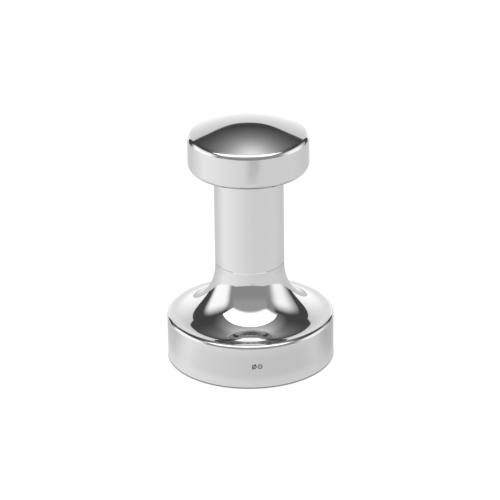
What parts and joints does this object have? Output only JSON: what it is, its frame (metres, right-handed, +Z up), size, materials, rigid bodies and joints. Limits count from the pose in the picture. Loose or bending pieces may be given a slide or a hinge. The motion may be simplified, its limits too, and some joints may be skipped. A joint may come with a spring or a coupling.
{
  "type": "espresso tamper",
  "caption": "Espresso tamper in polished stainless steel: a flat piston with a flared top, a plain round neck and a low domed mushroom knob.",
  "frame": {"origin": "centre of the flat tamping face", "axes": "+Z up along the tamper's axis, from the tamping face to the knob; the size mark faces -Y; +X to the right when the mark faces the viewer"},
  "size_m": [0.058, 0.058, 0.087],
  "materials": {
    "polished_steel": "polished",
    "stud_steel": "satin",
    "seal_rubber": "matte",
    "mark_enamel": "satin"
  },
  "bodies": {
    "base": {"base": "polished_steel", "size_mark": "mark_enamel", "base_stud": "stud_steel"},
    "lower_ring": {"base_seal": "seal_rubber"},
    "neck": {"neck": "polished_steel", "knob_stud": "stud_steel"},
    "upper_ring": {"knob_seal": "seal_rubber"},
    "knob": {"knob": "polished_steel"}
  },
  "joints": [
    {"name": "neck_lift", "type": "slide", "parent": "base", "child": "lower_ring", "axis": [0, 0, 1], "range_m": [0, 0.012]},
    {"name": "neck_turn", "type": "hinge", "parent": "lower_ring", "child": "neck", "pos_m": [0, 0, 0.0355], "axis": [0, 0, 1], "range_deg": [0, 2881]},
    {"name": "knob_lift", "type": "slide", "parent": "neck", "child": "upper_ring", "axis": [0, 0, 1], "range_m": [0, 0.00875]},
    {"name": "knob_turn", "type": "hinge", "parent": "upper_ring", "child": "knob", "pos_m": [0, 0, 0.0697], "axis": [0, 0, 1], "range_deg": [0, 2521]}
  ],
  "couplings": [
    {"joint": "neck_turn", "follows": "neck_lift", "rad_per_m": 4188.8},
    {"joint": "knob_turn", "follows": "knob_lift", "rad_per_m": 5026.5}
  ]
}
